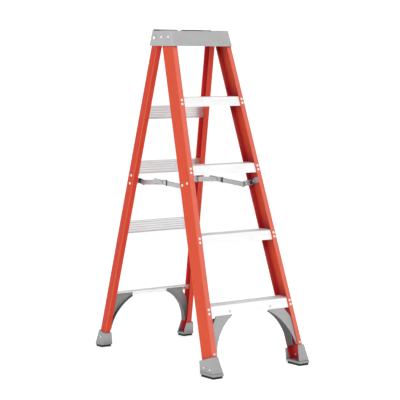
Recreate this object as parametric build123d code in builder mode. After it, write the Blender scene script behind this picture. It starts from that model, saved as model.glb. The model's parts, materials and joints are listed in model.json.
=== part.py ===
"""Step ladder with fibreglass rails, aluminium steps, a moulded top cap and folding spreaders.

Millimetres. +Z is up, the steps face -Y, +X is to the right seen from the front.
The right-hand pieces are drawn and the left-hand ones are mirrored about the YZ plane.
"""
import os
from math import atan, cos, hypot, sin

from build123d import *

STEP_RISE = 292.0
STEP_COUNT = 4
FIRST_TREAD_Z = 290.0

# Front rails
FRONT_TOE_Y = -446.6
FRONT_LEAN = 0.3206
FRONT_HALF_WIDTH = 257.63
FRONT_TAPER = 0.0642
FRONT_DEPTH = 78.0
FRONT_FLANGE = 25.0

# Rear rails
REAR_TOE_Y = 441.8
REAR_LEAN = 0.2049
REAR_HALF_WIDTH = 256.35
REAR_TAPER = 0.0652
REAR_DEPTH = 41.0
REAR_FLANGE = 28.0

RAIL_WALL = 4.0
RAIL_CORNER = 5.0
RAIL_FOOT_Z = 18.0
FRONT_RAIL_TOP_Z = 1440.0

# Top cap
CAP_BOTTOM_Z = 1388.6
CAP_TOP_Z = 1461.2
CAP_BOTTOM = (335.0, -8.0, 173.7)
CAP_TOP = (326.0, 18.5, 154.8)
CAP_WALL = 3.0
CAP_CORNER = 9.0
CAP_TRAY_DEPTH = 9.0
CAP_TRAY_INSET = 12.0
CAP_REAR_RIM = 11.0
CAP_RIM_DROP = 5.5
CAP_HIGH_RIM_DROP = 3.0
CAP_HIGH_RIM_X = 108.0
CAP_NOTCH_X = -17.0
CAP_NOTCH_WIDTH = 27.0
CAP_TOOL_X = (-110.0, -75.0, 75.0, 110.0)
CAP_TOOL_Y = 86.0
CAP_TOOL_RADIUS = 9.0
CAP_SLOT = (70.0, 16.0)

# Rear section hinge
HINGE_Y = 132.0
HINGE_Z = 1424.0
HINGE_RADIUS = 5.0
HINGE_BOSS_X = 164.6
HINGE_BOSS_RADIUS = 10.0
HINGE_BOSS_WIDTH = 3.4
PIN_INNER_X = 153.0
PIN_HEAD_X = 166.3
PIN_HEAD = (8.0, 3.0)
PIN_COLLAR_X = 152.0
PIN_COLLAR = (8.5, 3.6)
RUNNING = 0.05
REAR_TOP_ABOVE_HINGE = 13.0

# Steps and rear braces
STEP_LIP = 40.0
STEP_REAR_LIP = 26.0
SHEET = 2.5
TREAD = 3.0
TREAD_GROOVES = 11
GROOVE_PITCH = 6.0
GROOVE = (2.4, 1.8)
END_GAP = 0.4
LOW_BRACE_DEPTH = 22.0
BRACE_DEPTH = 11.0
BRACE_RIBS = 4
RIB_PITCH = 11.0
RIB = 4.4
BRACE_SPANS = ((231.0, 256.5), (534.0, 591.0), (811.0, 870.0), (1062.0, 1121.0))

# Shoes and pads: each outline is x0, x1, y0, y1
PAD_HEIGHT = 10.0
PAD_CORNER = 4.0
PAD_GROOVE = 3.0
FRONT_PAD = (213.5, 267.4, -443.5, -360.5)
REAR_PAD = (209.5, 263.0, 396.0, 443.5)
FRONT_SHOE_LOW = (211.5, 269.5, -448.0, -355.0)
FRONT_SHOE_HIGH = (226.0, 255.5, -418.6, -325.4)
FRONT_SHOE_HIGH_Z = 100.0
FRONT_SHOE_LENGTH = 92.5
REAR_SHOE_LOW = (207.5, 265.5, 391.0, 448.0)
REAR_SHOE_HIGH = (223.0, 254.2, 376.9, 427.5)
REAR_SHOE_HIGH_Z = 90.0
REAR_SHOE_LENGTH = 77.0
SHOE_EDGE = 3.0

# Gussets: points are x and height, the strip is its depth at the tip and at the foot
GUSSET_PLATE = 3.0
FRONT_GUSSET_ARC = ((100.0, 247.0), (180.0, 181.0), (221.0, 94.0))
FRONT_GUSSET_OUTLINE = (
    (240.0, 94.0), (240.0, 118.0), (230.0, 150.0), (226.0, 190.0),
    (216.0, 216.0), (194.0, 244.0), (194.0, 276.0), (100.0, 276.0),
)
FRONT_GUSSET_STRIP = (12.0, 64.0)
FRONT_GUSSET_RIM = 30.0
STRIP_LEAVES_AT = 157.0
REAR_GUSSET_ARC = ((100.0, 232.0), (174.0, 172.0), (212.0, 82.0))
REAR_GUSSET_OUTLINE = (
    (238.0, 82.0), (238.0, 110.0), (235.0, 149.0), (222.0, 190.0),
    (196.0, 224.0), (190.0, 247.0), (100.0, 247.0),
)
REAR_GUSSET_STRIP = (12.0, 24.0)
GUSSET_BOSS_RADIUS = 8.0

# Spreaders
FRONT_PIVOT = (-105.4, 776.0)
REAR_PIVOT = (233.0, 773.5)
MIDDLE_PIVOT = (79.2, 785.5)
ARM_HEIGHT = 22.0
ARM_SHEET = 3.0
FRONT_ARM_X = 155.7
REAR_ARM_X = 152.4
FRONT_ARM_OVERHANG = 58.0
REAR_ARM_OVERHANG = 28.0
PIVOT_RADIUS = 4.0
PIVOT_HEAD_RADIUS = 6.5
PIVOT_HEAD = 2.0
STOP_REACH = 36.0
STOP_WIDTH = 10.0
STOP_SEAT = 0.6
BRACKET_SHEET = 3.0
BRACKET_HEIGHT = 24.0
BRACKET_WALL_END_X = 208.0
FRONT_WALL_ACROSS = -24.0
REAR_WALL_ACROSS = 26.0
EAR_END = 11.0
ARM_GAP = 0.5

RIVET_RADIUS = 2.4
RIVET_HEAD = 5.8
RIVET_TAIL = 3.9
FRONT_RIVET_INSET = 13.0
REAR_RIVET_INSET = 15.0

ALPHA = atan(FRONT_LEAN)
BETA = atan(REAR_LEAN)
FRONT_TILT = atan(FRONT_TAPER)
REAR_TILT = atan(REAR_TAPER)

FRONT = Plane(origin=(0, FRONT_TOE_Y, 0), x_dir=(1, 0, 0), z_dir=(0, -cos(ALPHA), sin(ALPHA)))
REAR = Plane(origin=(0, REAR_TOE_Y, 0), x_dir=(-1, 0, 0), z_dir=(0, cos(BETA), sin(BETA)))

os.makedirs("parts", exist_ok=True)


def save(builder, label):
    """Name the sub-part and write it."""
    builder.part.label = label
    export_step(builder.part, f"parts/{label}.step")


def front_point(u, v, w):
    """World point from the front plane's right, up-slope and outward distances."""
    return FRONT.from_local_coords(Vector(u, v, w))


def rear_point(u, v, w):
    """World point on the right side from the rear plane's distances."""
    return REAR.from_local_coords(Vector(-u, v, w))


def front_v(z, w):
    """Up-slope distance of a height on the front plane at a depth."""
    return (z - w * sin(ALPHA)) / cos(ALPHA)


def rear_v(z, w):
    """Up-slope distance of a height on the rear plane at a depth."""
    return (z - w * sin(BETA)) / cos(BETA)


def front_half(v):
    """Half the outer width of the front rails."""
    return FRONT_HALF_WIDTH - FRONT_TAPER * v


def rear_half(v):
    """Half the outer width of the rear rails."""
    return REAR_HALF_WIDTH - REAR_TAPER * v


def front_rail_plane():
    """Section plane of the right front rail: x outward, y into the depth, z up the rail."""
    along = front_point(front_half(1.0), 1.0, 0) - front_point(front_half(0), 0, 0)
    outward = front_point(cos(FRONT_TILT), sin(FRONT_TILT), 0) - front_point(0, 0, 0)
    return Plane(origin=front_point(front_half(0), 0, 0), x_dir=outward, z_dir=along)


def rear_rail_plane():
    """Section plane of the right rear rail: x outward, y from the rear face to the back, z up."""
    along = rear_point(rear_half(1.0), 1.0, 0) - rear_point(rear_half(0), 0, 0)
    outward = rear_point(cos(REAR_TILT), sin(REAR_TILT), 0) - rear_point(0, 0, 0)
    return Plane(origin=rear_point(rear_half(0), 0, 0), x_dir=outward, z_dir=along)


FRONT_RAIL = front_rail_plane()
REAR_RAIL = rear_rail_plane()


def channel(flange, low, high):
    """C section with its web on x = 0 and its flanges toward -x."""
    with BuildSketch(mode=Mode.PRIVATE) as section:
        with Locations((-flange / 2, (low + high) / 2)):
            Rectangle(flange, high - low)
        outer = section.vertices().filter_by(lambda corner: corner.X > -1)
        fillet(outer, RAIL_CORNER)
        with Locations((-flange / 2 - RAIL_WALL, (low + high) / 2)):
            Rectangle(flange, high - low - 2 * RAIL_WALL, mode=Mode.SUBTRACT)
    return section.sketch


def web_axis(plane, y, z):
    """Plane on the web's outer face of a rail, looking outward."""
    origin = plane.from_local_coords(Vector(0, y, z))
    return Plane(origin=origin, x_dir=plane.z_dir, z_dir=plane.x_dir)


def rivet(plane, depth):
    """Low-domed rivet: a head on the plane, a shank going back through the stack, a formed tail."""
    upward = (Align.CENTER, Align.CENTER, Align.MIN)
    body = Pos(0, 0, -depth) * Cylinder(RIVET_RADIUS, depth, align=upward, mode=Mode.PRIVATE)
    body += Cylinder(RIVET_HEAD, 0.5, align=upward, mode=Mode.PRIVATE)
    body += Pos(0, 0, 0.5) * Cone(RIVET_HEAD, 4.6, 0.9, align=upward, mode=Mode.PRIVATE)
    body += Pos(0, 0, 1.4) * Cone(4.6, 2.4, 0.6, align=upward, mode=Mode.PRIVATE)
    body += Pos(0, 0, -depth - 1.8) * Cone(3.4, RIVET_TAIL, 1.8, align=upward, mode=Mode.PRIVATE)
    return plane * body


def rivet_hole(plane, depth):
    """Clearance hole for one rivet."""
    along = (Align.CENTER, Align.CENTER, Align.MAX)
    drill = Cylinder(RIVET_RADIUS + RUNNING, depth, align=along, mode=Mode.PRIVATE)
    return plane * Pos(0, 0, 2) * drill


def spot_face(plane):
    """Flat round seat for a rivet's head in a sloping wall."""
    upward = (Align.CENTER, Align.CENTER, Align.MIN)
    return plane * Cylinder(RIVET_HEAD + 0.4, 12, align=upward, mode=Mode.PRIVATE)


def tail_relief(plane, depth):
    """Room for a rivet's formed tail behind a stack."""
    downward = (Align.CENTER, Align.CENTER, Align.MAX)
    room = Cylinder(RIVET_TAIL + 0.5, 5, align=downward, mode=Mode.PRIVATE)
    return plane * Pos(0, 0, -depth) * room


# Places of the rivets on the right side, each a plane on the outer face looking outward
STEP_RIVETS = []
STEP_BACK_RIVETS = []
for index in range(STEP_COUNT):
    lip_middle = FIRST_TREAD_Z - 18.6 + STEP_RISE * index
    back_middle = FIRST_TREAD_Z - 15.0 + STEP_RISE * index
    for shift in (-9.0, 9.0):
        v = front_v(lip_middle, 0) + shift
        place = front_point(front_half(v) - FRONT_RIVET_INSET, v, 0)
        STEP_RIVETS.append(Plane(origin=place, x_dir=(1, 0, 0), z_dir=FRONT.z_dir))
    v = front_v(back_middle, -FRONT_DEPTH)
    place = front_point(front_half(v) - FRONT_RIVET_INSET, v, -FRONT_DEPTH)
    STEP_BACK_RIVETS.append(Plane(origin=place, x_dir=(1, 0, 0), z_dir=-FRONT.z_dir))

BRACE_RIVETS = []
for bottom, top in BRACE_SPANS:
    spread = 6.0 if top - bottom < 30 else 15.0
    for shift in (-spread, spread):
        v = rear_v((bottom + top) / 2, 0) + shift
        place = rear_point(rear_half(v) - REAR_RIVET_INSET, v, 0)
        BRACE_RIVETS.append(Plane(origin=place, x_dir=(1, 0, 0), z_dir=REAR.z_dir))

front_foot_v = front_v(100.0, 0)
front_foot = front_point(front_half(front_foot_v) - FRONT_RIVET_INSET, front_foot_v, 0)
FRONT_GUSSET_FOOT = Plane(origin=front_foot, x_dir=(1, 0, 0), z_dir=FRONT.z_dir)
front_lip = front_point(112.0, front_v(264.0, 0), -RAIL_WALL)
FRONT_GUSSET_TOP = Plane(origin=front_lip, x_dir=(1, 0, 0), z_dir=FRONT.z_dir)
rear_foot_v = rear_v(95.0, 0)
rear_foot = rear_point(rear_half(rear_foot_v) - REAR_RIVET_INSET, rear_foot_v, 0)
REAR_GUSSET_FOOT = Plane(origin=rear_foot, x_dir=(1, 0, 0), z_dir=REAR.z_dir)
rear_lip = rear_point(118.0, rear_v(240.0, 0), -RAIL_WALL)
REAR_GUSSET_TOP = Plane(origin=rear_lip, x_dir=(1, 0, 0), z_dir=REAR.z_dir)

FRONT_BRACKET_Z = 850.0
FRONT_BRACKET_RIVETS = [web_axis(FRONT_RAIL, y, FRONT_BRACKET_Z) for y in (22.0, 58.0)]
REAR_BRACKET_Z = 810.0
REAR_BRACKET_RIVETS = [web_axis(REAR_RAIL, -24.0, REAR_BRACKET_Z + shift) for shift in (-18.5, 18.5)]
FRONT_SHOE_RIVETS = [web_axis(FRONT_RAIL, 16.0, 43.0), web_axis(FRONT_RAIL, 56.0, 58.0)]
FRONT_SHOE_LIFTS = (10.0, 10.4)
REAR_SHOE_RIVETS = [web_axis(REAR_RAIL, -20.0, 52.0)]
REAR_SHOE_LIFT = 6.6
CAP_RIVET_LENGTH = 1431.0 / cos(ALPHA)
CAP_RIVETS = [web_axis(FRONT_RAIL, y, CAP_RIVET_LENGTH + y * sin(ALPHA)) for y in (18.0, 67.0)]
CAP_RIVET_LIFTS = (4.35, 5.35)


def foot_trim():
    """Horizontal plane at the rails' feet."""
    return Plane(origin=(0, 0, RAIL_FOOT_Z), z_dir=(0, 0, 1))


# Front rails
with BuildPart() as front_rail_right:
    with BuildSketch(FRONT_RAIL.offset(-80)):
        add(channel(FRONT_FLANGE, 0, FRONT_DEPTH))
    extrude(amount=1700)
    split(bisect_by=foot_trim(), keep=Keep.TOP)
    split(bisect_by=Plane(origin=(0, 0, FRONT_RAIL_TOP_Z), z_dir=(0, 0, 1)), keep=Keep.BOTTOM)
    for place in STEP_RIVETS + STEP_BACK_RIVETS + [FRONT_GUSSET_FOOT]:
        add(rivet_hole(place, 10), mode=Mode.SUBTRACT)
    for place in FRONT_BRACKET_RIVETS + FRONT_SHOE_RIVETS + CAP_RIVETS:
        add(rivet_hole(place, 10), mode=Mode.SUBTRACT)
save(front_rail_right, "front_rail_right")

with BuildPart() as front_rail_left:
    mirror(front_rail_right.part, about=Plane.YZ)
save(front_rail_left, "front_rail_left")

# Rear rails
with BuildPart() as rear_rail_right:
    with BuildSketch(REAR_RAIL.offset(-80)):
        add(channel(REAR_FLANGE, -REAR_DEPTH, 0))
    extrude(amount=1700)
    split(bisect_by=foot_trim(), keep=Keep.TOP)
    rail_top = Plane(origin=(0, HINGE_Y, HINGE_Z + REAR_TOP_ABOVE_HINGE), z_dir=(0, -sin(BETA), cos(BETA)))
    split(bisect_by=rail_top, keep=Keep.BOTTOM)
    for place in BRACE_RIVETS + [REAR_GUSSET_FOOT] + REAR_BRACKET_RIVETS + REAR_SHOE_RIVETS:
        add(rivet_hole(place, 10), mode=Mode.SUBTRACT)
    with Locations(Location((161, HINGE_Y, HINGE_Z), (0, 90, 0))):
        Cylinder(HINGE_RADIUS + RUNNING, 30, mode=Mode.SUBTRACT)
save(rear_rail_right, "rear_rail_right")

with BuildPart() as rear_rail_left:
    mirror(rear_rail_right.part, about=Plane.YZ)
save(rear_rail_left, "rear_rail_left")


def step_section(top):
    """Side profile of one step: grooved tread, sloping front lip, rear lip."""
    front_y = FRONT_TOE_Y + RAIL_WALL / cos(ALPHA)
    rear_y = FRONT_TOE_Y + (FRONT_DEPTH - RAIL_WALL) / cos(ALPHA)
    sheet_y = SHEET / cos(ALPHA)
    low = top - STEP_LIP
    back_low = top - STEP_REAR_LIP

    def lean(y, z):
        return (y + FRONT_LEAN * z, z)

    with BuildSketch(Plane.YZ.offset(-300), mode=Mode.PRIVATE) as section:
        with BuildLine():
            Polyline(
                lean(front_y, top),
                lean(front_y, low),
                lean(front_y + sheet_y, low),
                lean(front_y + sheet_y, top - TREAD),
                lean(rear_y - sheet_y, top - TREAD),
                lean(rear_y - sheet_y, back_low),
                lean(rear_y, back_low),
                lean(rear_y, top),
                close=True,
            )
        make_face()
        for groove in range(TREAD_GROOVES):
            middle = lean(front_y, top)[0] + 7.0 + GROOVE_PITCH * groove
            with Locations((middle, top)):
                Rectangle(*GROOVE, mode=Mode.SUBTRACT)
    return section.sketch


# Steps
for index in range(STEP_COUNT):
    with BuildPart() as step:
        extrude(step_section(FIRST_TREAD_Z + STEP_RISE * index), amount=600, dir=(1, 0, 0))
        for side in (1, -1):
            normal = Vector(FRONT_RAIL.x_dir.X * side, FRONT_RAIL.x_dir.Y, FRONT_RAIL.x_dir.Z)
            start = FRONT_RAIL.from_local_coords(Vector(-RAIL_WALL - END_GAP, 0, 0))
            wall = Plane(origin=(start.X * side, start.Y, start.Z), z_dir=normal)
            split(bisect_by=wall, keep=Keep.BOTTOM)
        holes = STEP_RIVETS[2 * index:2 * index + 2] + [STEP_BACK_RIVETS[index]]
        if index == 0:
            holes = holes + [FRONT_GUSSET_TOP]
        for place in holes:
            drill = rivet_hole(place, 14)
            add(drill, mode=Mode.SUBTRACT)
            add(mirror(drill, about=Plane.YZ, mode=Mode.PRIVATE), mode=Mode.SUBTRACT)
    save(step, f"step_{index + 1}")


def brace_section(bottom, top):
    """Side profile of one rear brace: a corrugated plate with two lips, or a plain angle if it is low."""
    middle = (rear_v(bottom, 0) + rear_v(top, 0)) / 2
    height = (top - bottom) / cos(BETA)
    side = Plane(origin=REAR.origin, x_dir=REAR.z_dir, z_dir=(1, 0, 0)).offset(-300)
    up = 1.0 if side.y_dir.Z > 0 else -1.0
    low_brace = height < 35
    deep = LOW_BRACE_DEPTH if low_brace else BRACE_DEPTH
    with BuildSketch(side, mode=Mode.PRIVATE) as section:
        with Locations((-RAIL_WALL - SHEET / 2, up * middle)):
            Rectangle(SHEET, height)
        for edge in ([1] if low_brace else [-1, 1]):
            with Locations((-RAIL_WALL - deep / 2, up * (middle + edge * (height - SHEET) / 2))):
                Rectangle(deep, SHEET)
        if not low_brace:
            for rib in range(BRACE_RIBS):
                rib_middle = middle + RIB_PITCH * (rib - (BRACE_RIBS - 1) / 2)
                with Locations((-RAIL_WALL - SHEET - RIB / 2 + 0.3, up * rib_middle)):
                    Rectangle(RIB, RIB)
    return section.sketch


def brace_end(bottom, top):
    """Block that copes the right end of a brace back to its plate, inside the rail."""
    v = rear_v((bottom + top) / 2, 0)
    depth = 60.0
    start = rear_point(rear_half(v) - REAR_FLANGE - 5, v, -RAIL_WALL - SHEET)
    corner = Plane(origin=start, x_dir=(1, 0, 0), z_dir=REAR.z_dir)
    block = Box(100, 64, depth, align=(Align.MIN, Align.CENTER, Align.MAX), mode=Mode.PRIVATE)
    return corner * block


# Rear braces
for index in range(len(BRACE_SPANS)):
    bottom, top = BRACE_SPANS[index]
    with BuildPart() as brace:
        extrude(brace_section(bottom, top), amount=600, dir=(1, 0, 0))
        for side in (1, -1):
            normal = Vector(REAR_RAIL.x_dir.X * side, REAR_RAIL.x_dir.Y, REAR_RAIL.x_dir.Z)
            start = REAR_RAIL.from_local_coords(Vector(-RAIL_WALL - END_GAP, 0, 0))
            wall = Plane(origin=(start.X * side, start.Y, start.Z), z_dir=normal)
            split(bisect_by=wall, keep=Keep.BOTTOM)
        if index > 0:
            end = brace_end(bottom, top)
            add(end, mode=Mode.SUBTRACT)
            add(mirror(end, about=Plane.YZ, mode=Mode.PRIVATE), mode=Mode.SUBTRACT)
        holes = BRACE_RIVETS[2 * index:2 * index + 2]
        if index == 0:
            holes = holes + [REAR_GUSSET_TOP]
        for place in holes:
            drill = rivet_hole(place, 12)
            add(drill, mode=Mode.SUBTRACT)
            add(mirror(drill, about=Plane.YZ, mode=Mode.PRIVATE), mode=Mode.SUBTRACT)
    save(brace, f"rear_brace_{index + 1}")


def cap_block(shrink, low, high):
    """Tapered block of the cap between two heights, drawn in by a wall thickness."""
    def rectangle_at(z):
        share = (z - CAP_BOTTOM_Z) / (CAP_TOP_Z - CAP_BOTTOM_Z)
        wide = CAP_BOTTOM[0] + share * (CAP_TOP[0] - CAP_BOTTOM[0]) - 2 * shrink
        front = CAP_BOTTOM[1] + share * (CAP_TOP[1] - CAP_BOTTOM[1]) + shrink
        back = CAP_BOTTOM[2] + share * (CAP_TOP[2] - CAP_BOTTOM[2]) - shrink
        corner = max(CAP_CORNER - shrink, 2.0)
        middle = Plane(origin=(0, (front + back) / 2, z))
        with BuildSketch(middle, mode=Mode.PRIVATE) as outline:
            RectangleRounded(wide, back - front, corner)
        return outline.sketch
    return loft([rectangle_at(low), rectangle_at(high)], ruled=True, mode=Mode.PRIVATE)


# Top cap
with BuildPart() as top_cap:
    add(cap_block(0, CAP_BOTTOM_Z, CAP_TOP_Z))
    top_edges = top_cap.faces().sort_by(Axis.Z)[-1].edges()
    fillet(top_edges, 2.0)
    add(cap_block(CAP_WALL, CAP_BOTTOM_Z - 1, CAP_TOP_Z - CAP_TRAY_DEPTH - 4), mode=Mode.SUBTRACT)
    with BuildSketch(Plane.XY.offset(CAP_TOP_Z - CAP_TRAY_DEPTH)):
        with Locations((0, (CAP_TOP[1] + CAP_TOP[2]) / 2)):
            tray = (CAP_TOP[0] - 2 * CAP_TRAY_INSET, CAP_TOP[2] - CAP_TOP[1] - 2 * CAP_TRAY_INSET)
            RectangleRounded(*tray, CAP_CORNER - 1)
    extrude(amount=20, mode=Mode.SUBTRACT)
    with Locations((CAP_NOTCH_X, CAP_TOP[2] - 6, CAP_TOP_Z)):
        Box(CAP_NOTCH_WIDTH, 40, 2 * CAP_TRAY_DEPTH, mode=Mode.SUBTRACT)
    with Locations((CAP_HIGH_RIM_X, CAP_TOP[2] - CAP_REAR_RIM, CAP_TOP_Z)):
        toward_left = (Align.MAX, Align.MAX, Align.CENTER)
        Box(400, 200, 2 * CAP_RIM_DROP, align=toward_left, mode=Mode.SUBTRACT)
        toward_right = (Align.MIN, Align.MAX, Align.CENTER)
        Box(200, 200, 2 * CAP_HIGH_RIM_DROP, align=toward_right, mode=Mode.SUBTRACT)
    for x in CAP_TOOL_X:
        with Locations((x, CAP_TOOL_Y, CAP_TOP_Z)):
            Cylinder(CAP_TOOL_RADIUS, 60, mode=Mode.SUBTRACT)
    with Locations((0, CAP_TOOL_Y, CAP_TOP_Z)):
        Box(*CAP_SLOT, 60, mode=Mode.SUBTRACT)
    for side in (1, -1):
        with Locations(Location((side * HINGE_BOSS_X, HINGE_Y, HINGE_Z), (0, 90, 0))):
            Cylinder(HINGE_BOSS_RADIUS, HINGE_BOSS_WIDTH)
            Cylinder(HINGE_RADIUS + RUNNING, 20, mode=Mode.SUBTRACT)
    for place in CAP_RIVETS:
        lifted = place.offset(5)
        drill = rivet_hole(lifted, 14)
        add(drill, mode=Mode.SUBTRACT)
        add(mirror(drill, about=Plane.YZ, mode=Mode.PRIVATE), mode=Mode.SUBTRACT)
save(top_cap, "top_cap")

# Hinge pins, with a head on the cap and a collar inside the rear rail
with BuildPart() as hinge_pin_right:
    with Locations(Location((PIN_INNER_X, HINGE_Y, HINGE_Z), (0, 90, 0))):
        Cylinder(HINGE_RADIUS, PIN_HEAD_X - PIN_INNER_X, align=(Align.CENTER, Align.CENTER, Align.MIN))
    with Locations(Location((PIN_HEAD_X, HINGE_Y, HINGE_Z), (0, 90, 0))):
        Cylinder(*PIN_HEAD, align=(Align.CENTER, Align.CENTER, Align.MIN))
    head_edge = hinge_pin_right.faces().sort_by(Axis.X)[-1].edges()
    fillet(head_edge, 1.6)
    with Locations(Location((PIN_COLLAR_X, HINGE_Y, HINGE_Z), (0, 90, 0))):
        Cylinder(*PIN_COLLAR, align=(Align.CENTER, Align.CENTER, Align.MIN))
save(hinge_pin_right, "hinge_pin_right")

with BuildPart() as hinge_pin_left:
    mirror(hinge_pin_right.part, about=Plane.YZ)
save(hinge_pin_left, "hinge_pin_left")


def shoe_block(low_box, high_box, high_z):
    """Flared block from the pad's plane to a height; each box is x0, x1, y0, y1."""
    faces = []
    for z, box in ((PAD_HEIGHT, low_box), (high_z, high_box)):
        middle = Plane(origin=((box[0] + box[1]) / 2, (box[2] + box[3]) / 2, z))
        with BuildSketch(middle, mode=Mode.PRIVATE) as outline:
            Rectangle(box[1] - box[0], box[3] - box[2])
        faces.append(outline.sketch)
    return loft(faces, ruled=True, mode=Mode.PRIVATE)


# Front shoes
with BuildPart() as front_shoe_right:
    add(shoe_block(FRONT_SHOE_LOW, FRONT_SHOE_HIGH, FRONT_SHOE_HIGH_Z))
    top_plane = Plane(origin=front_point(0, FRONT_SHOE_LENGTH, 0), z_dir=(0, sin(ALPHA), cos(ALPHA)))
    split(bisect_by=top_plane, keep=Keep.BOTTOM)
    upright = front_shoe_right.edges().filter_by(lambda edge: edge.length > 55 and edge.center().X > 240)
    upright = upright.filter_by(lambda edge: abs(edge.tangent_at(0.5).Z) > 0.8)
    fillet(upright, SHOE_EDGE)
    with BuildSketch(FRONT_RAIL.offset(-80), mode=Mode.PRIVATE) as socket:
        with Locations((-30, FRONT_DEPTH / 2)):
            Rectangle(60, FRONT_DEPTH)
    hollow = extrude(socket.sketch, amount=300, mode=Mode.PRIVATE)
    hollow = split(hollow, bisect_by=foot_trim(), keep=Keep.TOP, mode=Mode.PRIVATE)
    add(hollow, mode=Mode.SUBTRACT)
    for place, lift in zip(FRONT_SHOE_RIVETS, FRONT_SHOE_LIFTS):
        add(rivet_hole(place.offset(12), 26), mode=Mode.SUBTRACT)
        add(spot_face(place.offset(lift)), mode=Mode.SUBTRACT)
save(front_shoe_right, "front_shoe_right")

with BuildPart() as front_shoe_left:
    mirror(front_shoe_right.part, about=Plane.YZ)
save(front_shoe_left, "front_shoe_left")

# Rear shoes
with BuildPart() as rear_shoe_right:
    add(shoe_block(REAR_SHOE_LOW, REAR_SHOE_HIGH, REAR_SHOE_HIGH_Z))
    top_plane = Plane(origin=rear_point(0, REAR_SHOE_LENGTH, 0), z_dir=(0, -sin(BETA), cos(BETA)))
    split(bisect_by=top_plane, keep=Keep.BOTTOM)
    upright = rear_shoe_right.edges().filter_by(lambda edge: edge.length > 45 and edge.center().X > 240)
    upright = upright.filter_by(lambda edge: abs(edge.tangent_at(0.5).Z) > 0.8)
    fillet(upright, SHOE_EDGE)
    with BuildSketch(REAR_RAIL.offset(-80), mode=Mode.PRIVATE) as socket:
        with Locations((-30, -REAR_DEPTH / 2)):
            Rectangle(60, REAR_DEPTH)
    hollow = extrude(socket.sketch, amount=300, mode=Mode.PRIVATE)
    hollow = split(hollow, bisect_by=foot_trim(), keep=Keep.TOP, mode=Mode.PRIVATE)
    add(hollow, mode=Mode.SUBTRACT)
    for place in REAR_SHOE_RIVETS:
        add(rivet_hole(place.offset(12), 26), mode=Mode.SUBTRACT)
        add(spot_face(place.offset(REAR_SHOE_LIFT)), mode=Mode.SUBTRACT)
save(rear_shoe_right, "rear_shoe_right")

with BuildPart() as rear_shoe_left:
    mirror(rear_shoe_right.part, about=Plane.YZ)
save(rear_shoe_left, "rear_shoe_left")


def pad_sketch(x0, x1, y0, y1):
    """Outline of one rubber pad."""
    middle = Plane(origin=((x0 + x1) / 2, (y0 + y1) / 2, 0))
    with BuildSketch(middle, mode=Mode.PRIVATE) as outline:
        RectangleRounded(x1 - x0, y1 - y0, PAD_CORNER)
    return outline.sketch


# Rubber pads with cross grooves underneath
with BuildPart() as front_pad_right:
    add(pad_sketch(*FRONT_PAD))
    extrude(amount=PAD_HEIGHT)
    for groove in range(6):
        with Locations((240, FRONT_PAD[2] + 9.0 + 13.0 * groove, 0)):
            Box(80, PAD_GROOVE, PAD_HEIGHT / 2, mode=Mode.SUBTRACT)
save(front_pad_right, "front_pad_right")

with BuildPart() as front_pad_left:
    mirror(front_pad_right.part, about=Plane.YZ)
save(front_pad_left, "front_pad_left")

with BuildPart() as rear_pad_right:
    add(pad_sketch(*REAR_PAD))
    extrude(amount=PAD_HEIGHT)
    for groove in range(4):
        with Locations((236, REAR_PAD[2] + 5.5 + 12.0 * groove, 0)):
            Box(80, PAD_GROOVE, PAD_HEIGHT / 2, mode=Mode.SUBTRACT)
save(rear_pad_right, "rear_pad_right")

with BuildPart() as rear_pad_left:
    mirror(rear_pad_right.part, about=Plane.YZ)
save(rear_pad_left, "rear_pad_left")


def gusset(plane, sign, arc, outline, plate_depth, strip):
    """Crescent plate with a strip along its hollow edge; strip is its depth at the tip and the foot."""
    tip, arc_middle, foot = arc
    hollow = [(sign * u, v) for u, v in arc]
    inside = [(sign * (u + 2.6), v + 1.6) for u, v in arc]
    with BuildSketch(plane.offset(-plate_depth), mode=Mode.PRIVATE) as face:
        with BuildLine():
            ThreePointArc(*hollow)
            Polyline(*[(sign * u, v) for u, v in [foot] + outline + [tip]])
        make_face()
    plate = extrude(face.sketch, amount=-GUSSET_PLATE, mode=Mode.PRIVATE)
    with BuildSketch(plane.offset(-plate_depth), mode=Mode.PRIVATE) as band:
        with BuildLine():
            ThreePointArc(*hollow)
            Line(hollow[2], inside[2])
            ThreePointArc(inside[2], inside[1], inside[0])
            Line(inside[0], hollow[0])
        make_face()
    flange = extrude(band.sketch, amount=-max(strip), mode=Mode.PRIVATE)
    rise = tip[1] - foot[1]
    fall = strip[1] - strip[0]
    at_tip = plane.from_local_coords(Vector(0, tip[1], -plate_depth - strip[0]))
    normal = plane.from_local_coords(Vector(0, -fall, rise)) - plane.from_local_coords(Vector(0, 0, 0))
    taper = Plane(origin=at_tip, x_dir=(1, 0, 0), z_dir=normal)
    flange = split(flange, bisect_by=taper, keep=Keep.TOP, mode=Mode.PRIVATE)
    return plate + flange


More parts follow.
